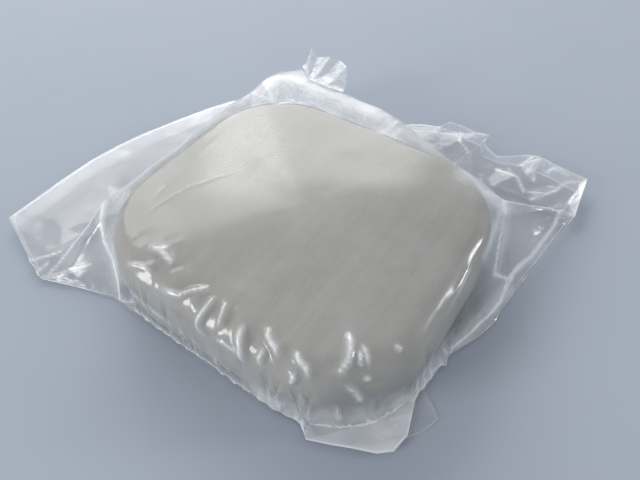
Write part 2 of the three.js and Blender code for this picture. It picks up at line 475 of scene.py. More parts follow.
@dataclass(frozen=True)
class BarForm:
    """The clay block's outline and section, in millimetres."""

    half_x: float
    half_y: float
    base: float
    top: float
    corner: float = 25.0
    edge: float = 7.0
    back_edge: float = 4.0
    crown: float = 1.4

    @classmethod
    def from_frame(cls) -> "BarForm":
        """Reads the block's size from its CAD node."""
        low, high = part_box("clay_bar")
        return cls(high.x / MM, high.y / MM, low.z / MM, high.z / MM)

    @property
    def shoulder(self) -> float:
        """The height where the front side turns into the rolled top edge."""
        return self.top - self.crown - self.edge

    def edge_at(self, angles: Array) -> Array:
        """The radius of the rolled top edge, which is tighter at the back and the left."""
        front = smoothstep(-0.2, 0.5, np.cos(angles + math.radians(50)))
        return self.back_edge + (self.edge - self.back_edge) * front

    def shoulder_at(self, angles: Array) -> Array:
        """The height where the side turns into the rolled top edge."""
        return self.top - self.crown - self.edge_at(angles)

    def reach(self, angles: Array, inset: Array | float) -> Array:
        """How far the outline is from its centre.

        Args:
            angles: Directions in radians.
            inset: How far the outline is taken in, or let out where it is negative.

        Returns:
            One distance for each angle.
        """
        ux, uy = np.maximum(abs(np.cos(angles)), 1e-9), np.maximum(abs(np.sin(angles)), 1e-9)
        half_x, half_y = self.half_x - inset, self.half_y - inset
        radius = np.maximum(self.corner - inset, 0.5)
        cx, cy = half_x - radius, half_y - radius
        along = ux * cx + uy * cy
        round_reach = along + np.sqrt(
            np.maximum(along**2 - cx**2 - cy**2 + radius**2, 0)
        )
        on_x, on_y = half_x / ux, half_y / uy
        reach = np.where(on_x * uy <= cy, on_x, round_reach)
        return np.where(on_y * ux <= cx, on_y, reach)

    def loop(self, angles: Array, inset: Array | float) -> Array:
        """Points of the outline in plan, n by 2."""
        reach = self.reach(angles, inset)
        return np.stack([reach * np.cos(angles), reach * np.sin(angles)], -1)

    def ring(self, angles: Array, inset: Array | float, z: Array | float) -> Array:
        """Points of the outline at a height, n by 3."""
        flat = self.loop(angles, inset)
        return np.concatenate([flat, np.broadcast_to(z, len(flat))[:, None]], 1)

    def crown_ring(self, angles: Array, share: float, offset: float) -> Array:
        """A ring on the domed top, from its middle at share 0 to its rim at 1.

        Args:
            angles: Directions in radians.
            share: How far out it is.
            offset: How far above the clay.

        Returns:
            Its points, n by 3.
        """
        rim = self.ring(angles, self.edge_at(angles), 0.0) * share
        rim[:, 2] = self.top - self.crown + offset + self.crown * (1 - share**2)
        return rim

    def edge_ring(self, angles: Array, turn: Array | float, offset: float) -> Array:
        """A ring on the rolled top edge, turn radians up from the side.

        Args:
            angles: Directions in radians.
            turn: Where on the edge it is.
            offset: How far off the clay.

        Returns:
            Its points, n by 3.
        """
        edge = self.edge_at(angles)
        inset = edge - (edge + offset) * np.cos(turn)
        height = self.shoulder_at(angles) + (edge + offset) * np.sin(turn)
        return self.ring(angles, inset, height)


@dataclass
class ClayBlock:
    """The block of clay, with the slight unevenness of a pressed bar."""

    form: BarForm
    finish: ClayFinish = field(default_factory=ClayFinish)
    columns: int = 400
    crown_rows: int = 44
    edge_rows: int = 10
    side_rows: int = 12
    foot_rows: int = 6
    foot_edge: float = 1.2
    foot_rise: float = 1.6
    # The front right corner is tucked under further than the rest.
    tucked_foot: float = 4.5
    tuck_at: float = -32.0
    tuck_spread: float = 24.0
    # Each ring under the block is this share of the one outside it.
    under_shares: tuple[float, ...] = (0.8, 0.65, 0.65, 0.65)
    dent: float = 0.35
    grain: float = 0.05
    # Dents along the front edge: where each one is, its half width and its depth.
    pressed: tuple[tuple[Point, float, float], ...] = (
        ((-16.0, -31.0, 21.0), 3.4, 0.7), ((-7.0, -33.0, 20.6), 3.0, 0.8),
        ((7.0, -33.6, 20.4), 2.6, 0.9), ((14.2, -35.4, 19.6), 2.2, 0.9),
        ((21.4, -34.8, 19.4), 2.4, 0.9), ((29.2, -31.0, 20.0), 2.4, 0.9),
        ((36.0, -25.0, 20.4), 2.6, 0.7), ((-26.0, -29.0, 21.0), 3.6, 0.6),
    )

    def rings(self) -> list[Array]:
        """The block's rings, from the middle of its top to the middle of its underside.

        Returns:
            The rings, each n by 3.
        """
        angles = np.linspace(-math.pi, math.pi, self.columns, endpoint=False)
        rings = [
            self.form.crown_ring(angles, k / self.crown_rows, 0.0)
            for k in range(1, self.crown_rows + 1)
        ]
        for k in range(1, self.edge_rows + 1):
            turn = math.pi / 2 * (1 - k / self.edge_rows)
            rings.append(self.form.edge_ring(angles, turn, 0.0))
        tuck = bell(np.degrees(angles) - self.tuck_at, self.tuck_spread)
        radius = self.foot_edge + (self.tucked_foot - self.foot_edge) * tuck
        side_end = self.form.base + radius * self.foot_rise
        shoulder = self.form.shoulder_at(angles)
        for k in range(1, self.side_rows + 1):
            z = shoulder + (side_end - shoulder) * k / self.side_rows
            rings.append(self.form.ring(angles, 0.0, z))
        for k in range(1, self.foot_rows + 1):
            turn = math.pi / 2 * k / self.foot_rows
            inset = radius * (1 - math.cos(turn))
            z = self.form.base + radius * self.foot_rise * (1 - math.sin(turn))
            rings.append(self.form.ring(angles, inset, z))
        for share in self.under_shares:
            rings.append(rings[-1] * (share, share, 1))
        return rings

    def faces(self, rings: int) -> list[tuple[int, ...]]:
        """Faces between the rings, and fans that close the top and the underside.

        Args:
            rings: How many rings there are, which the two middle points follow.

        Returns:
            The vertex indices of each face.
        """
        count = self.columns
        top, last = rings * count, (rings - 1) * count
        faces: list[tuple[int, ...]] = []
        for j in range(count):
            nxt = (j + 1) % count
            faces.append((top, j, nxt))
            faces.append((top + 1, last + nxt, last + j))
            for low in range(0, last, count):
                faces.append((low + j, low + count + j, low + count + nxt, low + nxt))
        return faces

    def build(self) -> bpy.types.Object:
        """Builds the block and dresses it.

        Returns:
            The block.
        """
        rings = self.rings()
        points = np.concatenate(rings)
        out = unit(points - (0, 0, self.form.shoulder))
        dents = noise_field(points, 17.0, 3.1) * self.dent
        pits = noise_field(points, 2.6, 8.4) * self.grain
        above = smoothstep(self.form.base, self.form.base + 3, points[:, 2])
        sunk = np.minimum(dents + pits, 0.05)
        for place, width, depth in self.pressed:
            near = np.linalg.norm(points - np.array(place), axis=1)
            sunk -= depth * bell(near, width)
        points = points + out * (sunk * above)[:, None]
        crown = (0, 0, self.form.top + dents[0] * 0.5)
        points = np.concatenate([points, [crown], [(0, 0, self.form.base)]])
        block = mesh_object("clay_block", points, self.faces(len(rings)))
        block.data.materials.append(self.finish.build())
        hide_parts("clay_bar")
        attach(block, Body.BAR.value)
        return block


# ---------------------------------------------------------------------------
# The film's shape
# ---------------------------------------------------------------------------


@dataclass(frozen=True)
class Fold:
    """A raised line pressed into the film: its path, and its height and half width."""

    path: Strand
    height: float
    width: float


@dataclass(frozen=True)
class HazeAndHighlight:
    """A white streak in the film: its path, its half width and how white it is. Most are milky
    film; the one along the bar's right edge is a painted highlight.
    """

    path: Strand
    width: float
    white: float


@dataclass(frozen=True)
class FilmLines:
    """The lines that shape the film off the bar, in millimetres in the row frame."""

    # The cut edge of the top ply, counter-clockwise from the bar's right side.
    cut_edge: Strand = (
        (46.5, -4.9, 0.8), (49.6, 1.3, 0.8), (50.8, 4.1, 0.8), (52.3, 9.6, 0.8),
        (52.0, 13.8, 0.8), (53.4, 23.5, 0.8), (55.0, 33.0, 0.8), (56.4, 45.9, 0.9),
        (58.1, 53.6, 3.0), (56.6, 69.0, 4.6), (50.1, 69.6, 4.6), (45.0, 70.8, 4.4),
        (40.2, 71.9, 4.0), (36.6, 71.7, 3.0), (32.6, 69.8, 2.0), (29.2, 68.0, 1.6),
        (25.9, 69.1, 2.3), (23.1, 70.8, 2.8), (23.4, 74.5, 3.6), (18.9, 74.2, 2.8),
        (13.3, 75.0, 3.0), (8.6, 74.8, 3.0), (7.0, 71.9, 2.0), (1.5, 70.6, 1.5),
        (-3.0, 68.4, 1.2), (-9.0, 62.5, 1.0), (-14.0, 56.8, 0.9), (-24.0, 58.9, 0.9),
        (-34.0, 61.3, 0.9), (-42.0, 62.6, 0.9), (-49.0, 58.5, 0.9), (-53.0, 51.0, 1.2),
        (-58.0, 47.0, 2.0), (-64.9, 43.9, 3.0), (-70.1, 34.4, 3.0), (-74.6, 24.0, 3.0),
        (-79.2, 12.8, 3.0), (-82.0, 3.0, 3.0), (-84.0, -8.0, 3.0), (-84.4, -20.0, 3.0),
        (-84.4, -38.5, 3.0), (-76.8, -40.9, 2.4), (-67.0, -44.1, 1.8), (-64.6, -45.3, 2.6),
        (-61.9, -45.4, 1.2), (-59.5, -46.6, 1.6), (-57.4, -46.6, 0.9), (-53.9, -45.3, 0.8),
        (-47.9, -43.2, 0.8), (-41.8, -41.2, 0.8), (-36.0, -39.2, 0.8), (-30.0, -39.3, 0.8),
        (-19.0, -39.5, 0.8), (0.0, -39.5, 0.8), (19.0, -39.5, 0.8), (26.6, -38.6, 0.8),
        (29.6, -41.0, 1.0), (34.5, -39.0, 0.9), (38.7, -37.2, 1.2), (44.0, -35.0, 1.3),
        (46.8, -32.6, 1.2), (47.6, -27.9, 1.1), (46.0, -22.5, 0.9), (45.0, -19.0, 0.8),
        (45.9, -12.9, 0.8), (46.2, -9.0, 0.9), (47.4, -8.3, 1.4),
    )
    # Where the film's wall comes down to the table, which the rows of the mesh close up to.
    foot: Strand = (
        (46.0, -5.0, 0), (47.6, 2.0, 0), (50.0, 12.0, 0), (51.0, 24.0, 0),
        (52.0, 36.0, 0), (51.0, 46.0, 0), (44.0, 47.0, 0), (37.0, 42.5, 0),
        (30.0, 42.5, 0), (22.0, 44.5, 0), (14.0, 47.5, 0), (6.0, 50.5, 0),
        (-3.0, 53.0, 0), (-12.0, 54.2, 0), (-22.0, 56.0, 0), (-33.0, 58.0, 0),
        (-41.0, 60.2, 0), (-46.0, 57.5, 0), (-49.0, 53.5, 0), (-50.5, 47.0, 0),
        (-51.0, 38.0, 0), (-51.2, 26.0, 0), (-51.4, 4.0, 0), (-52.5, -14.0, 0),
        (-56.0, -24.0, 0), (-55.0, -36.0, 0), (-44.0, -36.0, 0), (-34.4, -37.6, 0),
        (-28.0, -38.6, 0), (-19.0, -39.1, 0), (19.0, -39.1, 0), (28.0, -37.3, 0),
        (34.8, -33.6, 0), (40.2, -28.0, 0), (43.9, -20.0, 0), (45.0, -12.5, 0),
    )
    # Ridges, hems and seams: the film bends sharply along each of these.
    creases: tuple[Strand, ...] = (
        # over the back of the bar, where air holds the film up
        ((-48.6, -16.0, 17.2), (-48.2, -5.2, 17.6), (-48.2, 3.1, 17.6), (-48.3, 12.2, 17.6),
         (-48.0, 21.0, 17.8), (-47.0, 28.4, 18.4), (-46.4, 35.7, 18.6), (-46.6, 40.4, 18.6),
         (-46.9, 45.9, 18.4), (-45.8, 50.6, 18.2), (-43.8, 54.2, 18.0), (-41.3, 57.6, 17.5),
         (-38.0, 55.0, 17.5), (-35.4, 53.0, 17.3), (-28.9, 51.5, 17.5), (-25.9, 51.7, 17.5),
         (-21.0, 51.9, 17.8), (-15.7, 50.9, 18.4), (-10.9, 50.2, 18.8), (-6.2, 49.7, 19.0),
         (-2.1, 48.6, 19.0), (2.5, 47.3, 19.0), (6.7, 45.6, 19.0), (11.5, 43.6, 19.0),
         (15.3, 42.2, 19.0), (20.0, 40.4, 18.6), (25.0, 39.2, 17.6), (30.0, 38.7, 16.8),
         (36.0, 37.2, 16.4), (40.5, 35.2, 16.0)),
        ((-45.4, 41.0, 19.3), (-43.6, 45.4, 19.4), (-39.6, 47.6, 19.3), (-35.0, 49.0, 18.6)),
        # from the front left corner of the bar down to the table
        ((-52.5, -22.8, 14.5), (-52.9, -28.8, 11.0), (-54.4, -34.8, 7.0), (-55.6, -40.8, 3.6),
         (-57.0, -45.6, 1.2)),
        ((-52.5, -22.8, 14.5), (-48.3, -27.2, 14.0), (-45.5, -30.3, 9.5), (-40.4, -33.2, 5.0),
         (-36.0, -36.6, 1.6)),
        ((-46.0, -36.6, 5.4), (-51.0, -40.8, 3.4), (-56.2, -45.2, 1.2)),
        # down the bar's right side, standing off it
        ((40.5, 35.2, 16.0), (42.8, 30.4, 16.0), (44.2, 25.0, 15.2), (45.8, 19.8, 13.0),
         (47.1, 16.0, 10.0), (50.0, 20.6, 4.6)),
        # from the bar's back right corner to the tip of the ear
        ((40.5, 35.2, 16.0), (46.0, 41.5, 11.6), (51.3, 47.5, 8.0), (58.0, 53.5, 3.2)),
        # the hem along the right side
        ((54.4, 51.4, 5.2), (54.1, 46.5, 4.4), (53.6, 40.9, 3.9), (52.6, 32.5, 3.4),
         (51.0, 27.2, 3.6), (50.0, 20.6, 4.6)),
        ((50.0, 20.6, 4.6), (50.9, 14.6, 2.8), (50.0, 8.4, 2.6), (48.3, 2.2, 2.4),
         (46.2, -3.8, 2.2)),
        # crumples of the right ear
        ((36.9, 67.6, 1.6), (39.6, 65.0, 1.6), (41.9, 69.9, 5.4), (41.5, 65.5, 3.0),
         (43.0, 62.6, 2.0)),
        ((42.6, 70.2, 5.0), (44.4, 67.0, 2.6), (46.7, 68.6, 4.6), (51.4, 68.4, 3.6)),
        ((45.0, 55.2, 1.4), (48.1, 57.3, 3.4), (50.1, 61.2, 2.6), (51.4, 64.8, 3.6),
         (54.6, 67.6, 3.4)),
        ((55.0, 57.4, 2.6), (55.4, 62.5, 2.2)),
        ((31.0, 62.0, 1.2), (38.0, 61.0, 2.6), (42.0, 57.0, 1.6)),
        ((14.0, 72.2, 2.0), (16.0, 67.0, 2.8), (21.0, 64.6, 1.4)),
        # crumples at the left ear's lower corner
        ((-64.4, -44.6, 2.4), (-61.0, -42.2, 4.0), (-58.0, -38.4, 4.4)),
        ((-60.0, -46.2, 1.8), (-58.4, -42.6, 3.6)),
    )
    # Single places that the film passes through, with no crease of their own.
    rests: Strand = (
        # the foot behind the bar, and the seat of the ears on the table
        (-51.0, -15.0, 1.0), (-51.4, -4.0, 0.9), (-51.4, 10.0, 0.9), (-51.4, 24.0, 0.9),
        (-51.2, 34.0, 0.9), (-50.8, 43.0, 0.9), (-49.8, 50.0, 0.9), (-46.8, 56.6, 0.9),
        (-41.5, 61.0, 0.9), (-33.0, 59.0, 0.9), (-22.0, 56.4, 0.9), (-12.0, 53.9, 0.9),
        (-3.0, 52.9, 0.9), (6.0, 50.3, 0.9), (14.0, 47.3, 0.9), (22.0, 44.4, 0.9),
        (30.0, 42.5, 0.9), (37.5, 42.3, 0.9), (45.0, 48.0, 1.2), (51.5, 54.0, 1.8),
        (-58.0, -20.0, 2.6), (-60.0, -30.0, 2.2), (-66.0, -32.0, 2.8), (-74.0, -30.0, 2.6),
        (-62.0, -10.0, 1.4), (-72.0, -12.0, 2.4), (-60.0, 6.0, 1.2), (-72.0, 6.0, 2.2),
        (-58.0, 22.0, 1.1), (-67.0, 22.0, 2.2), (-56.0, 36.0, 1.1), (-62.0, 34.0, 2.0),
        (-60.5, -36.6, 3.4), (-67.0, -39.0, 2.4),
        (-44.0, -39.6, 2.0), (-50.0, -35.0, 7.6),
        (2.0, 60.0, 1.1), (12.0, 60.0, 1.3), (24.0, 56.0, 1.1), (33.0, 53.0, 1.1),
        (40.0, 51.0, 1.2), (-6.0, 60.5, 1.0), (6.0, 67.0, 1.6), (28.0, 63.0, 1.2),
        (47.0, 62.5, 1.6), (52.4, 59.5, 1.8),
        (40.0, -31.5, 0.9), (35.6, -35.8, 0.9), (43.6, -27.0, 1.0), (30.6, -38.2, 0.9),
    )
    # Where the film is stretched or rubbed milky, and a painted highlight along the bar's right
    # edge.
    hazes_and_highlights: tuple[HazeAndHighlight, ...] = (
        HazeAndHighlight(((-48.0, -18.0, 17.0), (-47.6, 12.0, 17.8), (-45.6, 33.0, 19.0),
              (-42.0, 46.0, 19.4), (-36.0, 50.0, 19.0)), 5.0, 0.6),
        HazeAndHighlight(((-38.0, 50.0, 18.6), (-21.0, 48.6, 18.8), (-2.0, 46.0, 19.6),
              (15.0, 40.6, 19.4), (30.0, 36.0, 17.6), (40.0, 33.0, 16.6)), 5.0, 0.42),
        HazeAndHighlight(((30.0, 33.0, 20.0), (36.0, 32.0, 18.6), (40.0, 33.0, 16.6)), 4.0, 0.8),
        # A painted highlight: a white band along the bar's rolled right edge.
        HazeAndHighlight(((40.5, 34.0, 16.4), (42.6, 26.0, 17.6), (44.3, 14.0, 17.2)), 1.4, 0.7),
        HazeAndHighlight(((42.0, 33.0, 15.0), (44.5, 26.0, 13.4), (46.4, 17.0, 9.4)), 2.2, 0.45),
        HazeAndHighlight(((-51.0, -23.0, 15.0), (-48.3, -27.2, 14.0), (-45.5, -30.3, 9.5),
              (-40.4, -33.2, 5.0), (-36.0, -36.6, 1.6)), 2.2, 0.6),
        HazeAndHighlight(((-36.0, -37.4, 2.0), (-20.0, -39.0, 2.0), (20.0, -39.2, 2.0)), 2.6, 0.4),
        HazeAndHighlight(((18.0, -39.0, 4.0), (29.0, -37.4, 4.0), (36.6, -34.6, 4.0), (41.4, -30.0, 4.0),
              (45.0, -22.0, 4.0), (46.4, -12.0, 4.0)), 7.0, 0.85),
        HazeAndHighlight(((46.6, -10.0, 3.0), (48.0, 4.0, 3.0), (51.0, 18.0, 3.0)), 3.4, 0.6),
        HazeAndHighlight(((57.4, 67.0, 4.4), (57.0, 60.0, 3.4), (58.0, 54.0, 3.2)), 1.2, 0.8),
        HazeAndHighlight(((58.0, 53.6, 3.4), (54.2, 50.0, 4.8), (53.8, 43.0, 4.0), (52.6, 32.5, 3.4),
              (50.6, 24.0, 4.0), (50.9, 14.6, 2.8), (50.0, 8.4, 2.6)), 0.9, 0.9),
        HazeAndHighlight(((46.0, -33.0, 1.0), (39.0, -37.6, 1.0), (31.0, -40.5, 1.0)), 5.0, 0.7),
        HazeAndHighlight(((-42.0, -30.0, 10.0), (-30.0, -37.0, 10.0), (0.0, -39.0, 10.0),
              (20.0, -39.0, 9.0)), 6.0, 0.3),
    )
    # Wrinkles over the bar's front edge and down its wall, and two long scratches on its top. Each
    # is whitened along its ridge, a painted highlight.
    folds: tuple[Fold, ...] = (
        Fold(((-25.8, -35.8, 19.3), (-22.5, -35.2, 20.4), (-19.2, -34.5, 20.9),
              (-16.8, -34.7, 20.9)), 0.75, 0.7),
        Fold(((-23.2, -30.2, 21.6), (-19.3, -29.3, 21.7), (-15.2, -30.4, 21.6),
              (-14.0, -32.1, 21.4)), 0.55, 1.2),
        Fold(((-14.8, -36.3, 19.7), (-11.3, -36.2, 19.9), (-7.5, -35.5, 20.4),
              (-5.1, -33.3, 21.3), (-2.9, -31.6, 21.5), (-1.2, -31.4, 21.5)), 0.9, 0.8),
        Fold(((-0.2, -32.0, 21.5), (0.2, -34.7, 20.8), (-0.4, -37.0, 19.1),
              (-0.3, -38.1, 17.6), (2.1, -38.6, 16.3), (3.4, -38.6, 15.6)), 1.15, 0.9),
        Fold(((2.6, -31.7, 21.5), (4.1, -33.7, 21.2), (4.6, -35.8, 20.2),
              (4.5, -36.9, 19.2)), 0.9, 0.7),
        Fold(((3.9, -38.4, 16.7), (6.8, -37.9, 17.8), (10.8, -38.1, 17.4),
              (12.5, -38.2, 17.1)), 0.8, 0.9),
        Fold(((9.4, -33.0, 21.3), (10.4, -36.0, 20.1), (11.8, -37.6, 18.3),
              (12.6, -38.6, 14.0)), 0.95, 1.3),
        Fold(((16.7, -35.0, 20.6), (16.5, -37.1, 19.0), (17.4, -37.9, 17.9)), 0.8, 0.8),
        Fold(((14.1, -32.1, 21.4), (17.3, -33.7, 21.2), (18.9, -34.2, 21.0),
              (20.4, -35.6, 20.0)), 1.1, 0.9),
        Fold(((22.2, -32.8, 21.4), (24.5, -33.7, 20.9), (26.5, -34.0, 20.4),
              (27.4, -35.4, 19.2)), 1.1, 0.8),
        Fold(((23.4, -36.8, 18.9), (24.9, -36.4, 19.1), (24.3, -37.8, 16.7)), 0.8, 0.7),
        Fold(((29.2, -22.6, 21.8), (31.7, -26.3, 21.5), (32.6, -28.4, 21.2),
              (32.3, -30.8, 20.4), (30.9, -32.2, 20.2)), 1.1, 1.0),
        Fold(((33.3, -25.2, 21.4), (34.2, -26.7, 21.2), (35.2, -28.1, 20.3)), 0.8, 0.7),
        Fold(((32.8, -23.9, 21.6), (34.7, -25.2, 21.4), (36.4, -27.2, 20.2)), 0.5, 0.9),
        Fold(((36.2, -29.2, 19.2), (37.6, -28.0, 18.9)), 0.7, 0.6),
        Fold(((38.3, -20.0, 21.0), (40.0, -20.6, 20.1)), 0.5, 0.8),
        Fold(((33.8, -32.2, 18.6), (36.0, -31.4, 17.4), (37.6, -31.0, 13.0)), 0.9, 1.0),
        Fold(((-36.3, 23.8, 21.9), (-36.1, -2.3, 22.3), (-35.5, -11.5, 22.0),
              (-33.9, -19.6, 21.7), (-32.4, -26.5, 21.0)), 0.16, 0.45),
        Fold(((-21.4, 1.8, 22.5), (-25.7, -5.4, 22.4), (-29.4, -11.5, 22.2),
              (-31.4, -20.2, 21.8), (-31.5, -28.2, 21.0)), 0.12, 0.6),
        Fold(((42.4, 11.5, 19.3), (42.8, 6.3, 18.8), (43.1, 1.6, 18.4), (43.5, -3.1, 17.7),
              (43.9, -7.2, 16.7), (44.3, -9.3, 14.8)), 0.45, 1.0),
        Fold(((-30.0, -35.8, 16.0), (-22.0, -38.8, 12.0), (-10.0, -38.9, 9.5),
              (4.0, -38.9, 9.0)), 0.45, 1.8),
        Fold(((-26.0, -38.0, 8.0), (-12.0, -38.9, 5.0), (6.0, -39.0, 6.0),
              (16.0, -39.0, 4.0)), 0.4, 1.4),
        Fold(((20.0, -38.8, 12.0), (22.0, -38.9, 7.0), (21.0, -39.2, 2.0)), 0.8, 1.2),
        Fold(((27.0, -37.2, 14.0), (28.4, -37.6, 8.0), (27.6, -38.4, 2.0)), 0.9, 1.2),
        Fold(((33.4, -34.0, 13.0), (34.4, -34.4, 7.0), (33.6, -35.4, 2.0)), 0.9, 1.1),
        Fold(((39.6, -29.0, 14.0), (40.4, -29.0, 8.0), (40.2, -29.6, 2.0)), 0.9, 1.1),
        Fold(((43.6, -20.6, 15.0), (44.0, -20.8, 8.0), (44.0, -21.0, 2.0)), 0.8, 1.2),
        Fold(((45.0, -10.0, 13.0), (45.6, -8.0, 6.0), (46.2, -6.0, 2.0)), 0.8, 1.2),
    )

    def mark_on(self, grid: "FilmGrid") -> tuple[Array, Array]:
        """Sets a grid's haze along the lines, and paints highlights along the folds.

        Args:
            grid: The film, before it is wrinkled.

        Returns:
            How far each point is raised, and how white its creases are: painted highlight along the
            folds, and partly painted highlight along the creases.
        """
        lift, white = np.zeros(grid.shape), np.zeros(grid.shape)
        for fold in self.folds:
            distance, along = grid.nearest(fold.path)
            fade = smoothstep(0.0, 0.3, along) * smoothstep(1.0, 0.7, along)
            ridge = bell(distance, fold.width) * (0.1 + 0.9 * fade)
            lift = np.maximum(lift, fold.height * ridge)
            shown = min(1.0, fold.height / 0.6)
            # A painted highlight: a white core along the fold's ridge, and a softer halo of it in
            # the haze.
            fold_highlight = bell(distance, fold.width * 0.4) * fade
            white = np.maximum(white, fold_highlight * 0.9 * shown)
            grid.haze[:] = np.maximum(grid.haze, ridge * 0.4 * shown)
        # The first crease is the soft ridge behind the bar, which isn't whitened. The others are
        # whitened, partly as the film's own crease whitening and partly as a painted highlight.
        for crease in self.creases[1:]:
            white = np.maximum(white, bell(grid.nearest(crease)[0], 0.5) * 0.95)
        # Milky streaks, and the painted highlight along the bar's right edge.
        for haze in self.hazes_and_highlights:
            streak_white = bell(grid.nearest(haze.path)[0], haze.width) * haze.white
            grid.haze[:] = np.maximum(grid.haze, streak_white)
        return lift, white


def resample(strand: Strand, step: float) -> Array:
    """Points along a strand no further than step apart, n by 3.

    Args:
        strand: Corners of the strand.
        step: The longest step, in plan.

    Returns:
        The points, with the corners among them.
    """
    points = [np.array(strand[0])]
    for start, end in zip(strand, strand[1:]):
        start, end = np.array(start), np.array(end)
        count = max(1, math.ceil(np.linalg.norm(end[:2] - start[:2]) / step))
        points += [start + (end - start) * k / count for k in range(1, count + 1)]
    return np.array(points)


@dataclass
class HeightMap:
    """Heights over the plan, in flat facets between the lines that shape the film."""

    corners: Array
    triangles: Array

    @classmethod
    def from_lines(cls, loops: list[Array], strands: list[Array], singles: Array) -> "HeightMap":
        """Triangulates the plan.

        Args:
            loops: Closed lines that facets don't cross, each n by 3.
            strands: Open lines that facets don't cross, each n by 3.
            singles: Other places, n by 3.

        Returns:
            The map.
        """
        places: list = []
        edges: list = []
        for line, closed in [(p, True) for p in loops] + [(s, False) for s in strands]:
            first = len(places)
            places += list(line)
            edges += [(first + k, first + k + 1) for k in range(len(line) - 1)]
            if closed:
                edges.append((first + len(line) - 1, first))
        places += list(singles)
        flat = [Vector(p[:2]) for p in places]
        verts, _, faces, sources, _, _ = delaunay_2d_cdt(flat, edges, [], 0, 1e-4)
        corners = np.zeros((len(verts), 3))
        for k, (vert, source) in enumerate(zip(verts, sources)):
            if source:
                z = max(places[s][2] for s in source)
            else:
                near = sorted(places, key=lambda p: math.dist(p[:2], vert))[:2]
                z = sum(p[2] for p in near) / len(near)
            corners[k] = (vert.x, vert.y, z)
        return cls(corners, np.array([f for f in faces if len(f) == 3]))

    def at(self, places: Array) -> Array:
        """Heights at places, n by 2.

        Args:
            places: Places in plan, n by 2.

        Returns:
            One height for each place.
        """
        heights = np.full(len(places), np.nan)
        for triangle in self.triangles:
            a, b, c = self.corners[triangle]
            low, high = np.minimum(np.minimum(a, b), c), np.maximum(np.maximum(a, b), c)
            near = np.flatnonzero(
                (places >= low[:2] - 1e-6).all(1) & (places <= high[:2] + 1e-6).all(1)
            )
            if not len(near):
                continue
            area = (b[0] - a[0]) * (c[1] - a[1]) - (c[0] - a[0]) * (b[1] - a[1])
            if abs(area) < 1e-12:
                continue
            x, y = places[near, 0], places[near, 1]
            v = ((x - a[0]) * (c[1] - a[1]) - (c[0] - a[0]) * (y - a[1])) / area
            w = ((b[0] - a[0]) * (y - a[1]) - (x - a[0]) * (b[1] - a[1])) / area
            inside = (v >= -1e-6) & (w >= -1e-6) & (v + w <= 1 + 1e-6)
            z = a[2] + v * (b[2] - a[2]) + w * (c[2] - a[2])
            heights[near[inside]] = z[inside]
        for k in np.flatnonzero(np.isnan(heights)):
            nearest = np.argmin(((self.corners[:, :2] - places[k]) ** 2).sum(1))
            heights[k] = self.corners[nearest, 2]
        return heights


